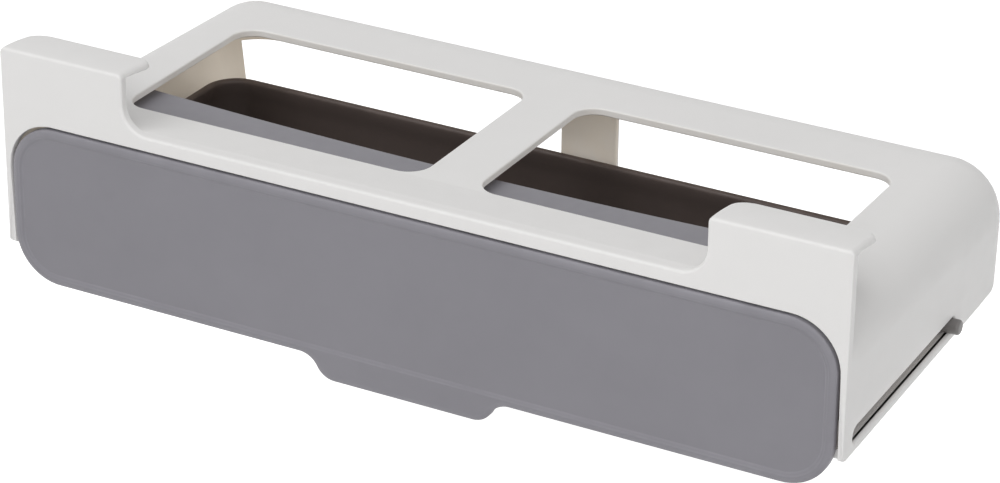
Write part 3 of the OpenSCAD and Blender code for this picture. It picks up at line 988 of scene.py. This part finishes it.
def make_tray():
    """The tray with its bosses, and the two side runners.

    One skin is carried round the tray's outline, up the outside, over the half round of the
    rim, down the inside and across the floor. Under the rim its thickness comes back from the
    bead's to the wall's by (1 + cos t) / 2.
    """
    s = bpy.context.scene.rack_tray
    lo, hi = node_box("tray")
    x, base, top = hi[0], node_box("tray_floor")[0][2], hi[2]
    corners = [(-x, lo[1]), (x, lo[1]), (x, hi[1]), (-x, hi[1])]
    radii = [TRAY_SOFT, TRAY_SOFT, s.corner, s.corner]
    roll = s.bead / 2
    t = np.linspace(0, math.pi, 11)
    rim = np.stack([roll - roll * np.cos(t), top - roll + roll * np.sin(t)], 1)
    t = np.linspace(0, math.pi, 9)[1:]
    thick = s.wall + (s.bead - s.wall) * (1 + np.cos(t)) / 2
    under = np.stack([thick, top - roll - s.bead * t], 1)
    t = np.linspace(0, math.pi / 2, 6)
    rise = s.wall + s.foot * (1 - np.sin(t))
    foot = np.stack([s.wall + s.foot * (1 - np.cos(t)), base + rise], 1)
    heel = quarter(TRAY_SOFT, base + TRAY_SOFT, base, 4)[::-1]
    out = Surface()
    out.slab(corners, radii, np.concatenate([heel, rim, under, foot]), top_view)
    y, z = sum(node_box("pin_right"))[1:] / 2
    r = bpy.context.scene.rack_pins.radius + BOSS_WIDER
    boss = [(ROOT, 0), (ROOT, r), (BOSS_BEVEL - BOSS_OUT, r), (-BOSS_OUT, r - BOSS_BEVEL)]
    boss = np.array([*boss, (-BOSS_OUT, 0)])
    for side in (-1, 1):
        out.lathe(boss * (side, 1), (side * (x - s.wall), y, z))
    dark = plastic("dark_plastic", bpy.context.scene.rack_dark)
    out.piece("jar_tray", dark, "drawer", "tray_dark", "tray", "tray_floor")
    edge = quarter(RUNNER_EDGE, x + s.runner - RUNNER_EDGE, x + s.runner, 4)
    rows = np.array([(0, x - RUNNER_ROOT), *edge])
    for side, node in ((-1, "runner_left"), (1, "runner_right")):
        (_, y0, z0), (_, y1, z1) = node_box(node)
        r = (z1 - z0) / 2 - 2 * ROUND_SLACK
        corners = [(y0, z0), (y1, z0), (y1, z1), (y0, z1)]
        out = Surface()
        out.slab(corners, [RUNNER_R, r, r, RUNNER_R], rows * (1, side), side_view)
        out.piece("tray_" + node, dark, "drawer", "tray_dark", node)


def make_pins():
    """The guide pins: head, journal, collar and rounded outer end, turned round their axis."""
    s = bpy.context.scene.rack_pins
    grey = plastic("pin_plastic", bpy.context.scene.rack_pin_finish)
    t = np.linspace(0, math.pi / 2, 6)
    for side, node in ((-1, "pin_left"), (1, "pin_right")):
        lo, hi = node_box(node)
        inner, outer = sorted(abs(v) for v in (lo[0], hi[0]))
        start, stop = node_box("tray")[1][0] + COLLAR_IN, outer - COLLAR_OUT
        shaft = s.radius - s.edge
        nose = np.stack([outer - s.edge + s.edge * np.sin(t), shaft + s.edge * np.cos(t)], 1)
        profile = [
            (inner, 0),
            (inner, s.head - HEAD_EDGE),
            (inner + HEAD_CORNER, s.head - HEAD_CORNER),
            (inner + HEAD_EDGE, s.head),
            (inner + s.head_t, s.head),
            (inner + s.head_t, s.radius),
            (start, s.radius),
            (start, s.collar - COLLAR_BEVEL),
            (start + COLLAR_BEVEL, s.collar),
            (stop - COLLAR_BEVEL, s.collar),
            (stop, s.collar - COLLAR_BEVEL),
            (stop, s.radius),
            *nose.tolist(),
            (outer, 0),
        ]
        out = Surface()
        out.lathe(np.array(profile) * (side, 1), (0, *(lo + hi)[1:] / 2))
        out.piece("guide_" + node, grey, "guide", "pin_grey", node)


# Stage

# The camera: the point it aims at and its distance in millimetres, its turn round the rack, its
# rise and roll, and its lens.
CAMERA_AIM = (38.093, -3.0, -5.868)
CAMERA_AWAY = 1243.45
CAMERA_TURN = math.radians(28.47)
CAMERA_RISE = math.radians(26.01)
CAMERA_ROLL = math.radians(0.681)
CAMERA_LENS = 132.16

# The lamps, in metres: place, target and the side of the square.
LAMPS = {
    "key": ((-0.6, -1.1, 1.9), (0, 0.03, -0.03), 1.6),
    "side": ((0.7, -0.4, 0.05), (0.16, 0.02, -0.03), 0.3),
    "front": ((0.85, -1.9, 1.1), (0, 0.06, -0.03), 1.0),
}

# The floor: its reach in millimetres, its two tints, and its own light where it is seen.
FLOOR_REACH = 4000
FLOOR_TINTS = ((0.80, 0.80, 0.80), (0.82, 0.82, 0.82))
FLOOR_LIFT = (0.8, 0.8, 0.8, 1)


def make_camera():
    """The camera, at the angle, distance and lens that the photograph was taken with.

    Its back direction is (sin a cos e, -cos a cos e, sin e) for a turn a and a rise e; its right
    and up directions are then turned about it by the roll.
    """
    a, e, r = CAMERA_TURN, CAMERA_RISE, CAMERA_ROLL
    back = Vector((math.sin(a) * math.cos(e), -math.cos(a) * math.cos(e), math.sin(e)))
    right = (-back).cross(Vector((0, 0, 1))).normalized()
    up = right.cross(-back)
    right, up = right * math.cos(r) + up * math.sin(r), up * math.cos(r) - right * math.sin(r)
    data = bpy.data.cameras.new("camera")
    data.sensor_fit = "HORIZONTAL"
    data.sensor_width = 36
    data.lens = CAMERA_LENS
    data.clip_start, data.clip_end = 0.05, 50
    camera = add_object("camera", data)
    camera.location = (Vector(CAMERA_AIM) + back * CAMERA_AWAY) * MM
    camera.rotation_euler = Matrix((right, up, back)).transposed().to_euler()
    bpy.context.scene.camera = camera


def soft_lamp(name, place, target, size, watts):
    """A square soft box that faces a target."""
    data = bpy.data.lights.new(name, "AREA")
    data.shape = "SQUARE"
    data.size = size
    data.energy = watts
    lamp = add_object(name, data)
    lamp.location = place
    lamp.rotation_euler = (Vector(place) - Vector(target)).to_track_quat("Z", "Y").to_euler()


def seen_straight(tree):
    """1 for what the camera sees straight, in a gloss or through glass, and 0 for plain light."""
    path = tree.nodes.new("ShaderNodeLightPath")
    seen = combine(tree, "MAXIMUM", path.outputs["Is Camera Ray"], path.outputs["Is Glossy Ray"])
    return combine(tree, "MAXIMUM", seen, path.outputs["Is Transmission Ray"])


def make_world(strength):
    """A white world: plain white where it is seen, and softer where it lights the rack."""
    world = bpy.data.worlds.new("studio")
    bpy.context.scene.world = world
    world.use_nodes = True
    tree = world.node_tree
    light = tree.nodes["Background"]
    feed(tree, light, {"Color": (1, 1, 1, 1), "Strength": strength})
    seen = add_node(tree, "Background", {"Color": (1, 1, 1, 1)})
    inputs = {0: seen_straight(tree), 1: light.outputs[0], 2: seen.outputs[0]}
    mix = add_node(tree, "MixShader", inputs)
    feed(tree, tree.nodes["World Output"], {"Surface": mix.outputs[0]})


def make_floor(drop):
    """A pale floor that keeps the rack's shadow and is lifted to white where it is seen."""
    out = Surface()
    x = np.linspace(-FLOOR_REACH, FLOOR_REACH, 5)
    grid = np.stack([*np.meshgrid(x, x), np.full((5, 5), -drop)], -1)
    out.grid(out.add(grid))
    mesh = out.mesh("floor")
    mat = bpy.data.materials.new("pale_floor")
    mat.use_nodes = True
    tree = mat.node_tree
    shader = tree.nodes["Principled BSDF"]
    coords = tree.nodes.new("ShaderNodeTexCoord").outputs["Object"]
    clouds = spread(tree, noise(tree, coords, 3, 2), 0, 1)
    tint = blend_colour(tree, clouds, *FLOOR_TINTS)
    feed(tree, shader, {"Base Color": tint, "Roughness": 0.9, "Specular IOR Level": 0.1})
    lift = add_node(tree, "Emission", {"Color": FLOOR_LIFT, "Strength": seen_straight(tree)})
    both = add_node(tree, "AddShader", {0: shader.outputs[0], 1: lift.outputs[0]})
    feed(tree, tree.nodes["Material Output"], {"Surface": both.outputs[0]})
    mesh.materials.append(mat)
    add_object("floor", mesh)


def make_stage():
    """Camera, pale floor, white world, a wide key from above, and a side and a front lamp."""
    s = bpy.context.scene.rack_stage
    bpy.context.scene.view_settings.view_transform = "Standard"
    make_camera()
    make_world(s.sky)
    make_floor(s.drop)
    for name, (place, target, size) in LAMPS.items():
        soft_lamp(name, place, target, size, getattr(s, name))


# Operators and panel


class RACK_OT_stage(bpy.types.Operator):
    """Make the camera, the floor and the soft studio light"""

    bl_idname = "rack.stage"
    bl_label = "Studio"

    def execute(self, context):
        make_stage()
        return {"FINISHED"}


class RACK_OT_frame(bpy.types.Operator):
    """Make the white frame that hooks over the shelf"""

    bl_idname = "rack.frame"
    bl_label = "Frame"

    def execute(self, context):
        make_frame()
        return {"FINISHED"}


class RACK_OT_front(bpy.types.Operator):
    """Make the grey drawer front with its tab and lip"""

    bl_idname = "rack.front"
    bl_label = "Drawer front"

    def execute(self, context):
        make_front()
        return {"FINISHED"}


class RACK_OT_tray(bpy.types.Operator):
    """Make the dark tray for the jars"""

    bl_idname = "rack.tray"
    bl_label = "Tray"

    def execute(self, context):
        make_tray()
        return {"FINISHED"}


class RACK_OT_pins(bpy.types.Operator):
    """Make the two guide pins"""

    bl_idname = "rack.pins"
    bl_label = "Guide pins"

    def execute(self, context):
        make_pins()
        return {"FINISHED"}


class RACK_PT_panel(bpy.types.Panel):
    """Lists the rack's pieces in the sidebar"""

    bl_idname = "RACK_PT_panel"
    bl_label = "Spice rack"
    bl_space_type = "VIEW_3D"
    bl_region_type = "UI"
    bl_category = "Spice rack"

    def draw(self, context):
        column = self.layout.column()
        for operator in OPERATORS:
            column.operator(operator.bl_idname)


OPERATORS = (RACK_OT_stage, RACK_OT_frame, RACK_OT_front, RACK_OT_tray, RACK_OT_pins)


def register():
    """Registers the settings, the operators and the panel."""
    for name, group in SETTINGS.items():
        bpy.utils.register_class(group)
        setattr(bpy.types.Scene, name, bpy.props.PointerProperty(type=group))
    for item in (*OPERATORS, RACK_PT_panel):
        bpy.utils.register_class(item)


def unregister():
    """Takes the panel, the operators and the settings away again."""
    for item in (RACK_PT_panel, *reversed(OPERATORS)):
        bpy.utils.unregister_class(item)
    for name, group in reversed(SETTINGS.items()):
        delattr(bpy.types.Scene, name)
        bpy.utils.unregister_class(group)


def main():
    """Builds the rack and the studio."""
    register()
    bpy.ops.rack.stage()
    bpy.ops.rack.frame()
    bpy.ops.rack.front()
    bpy.ops.rack.tray()
    bpy.ops.rack.pins()


if __name__ == "__main__":
    main()
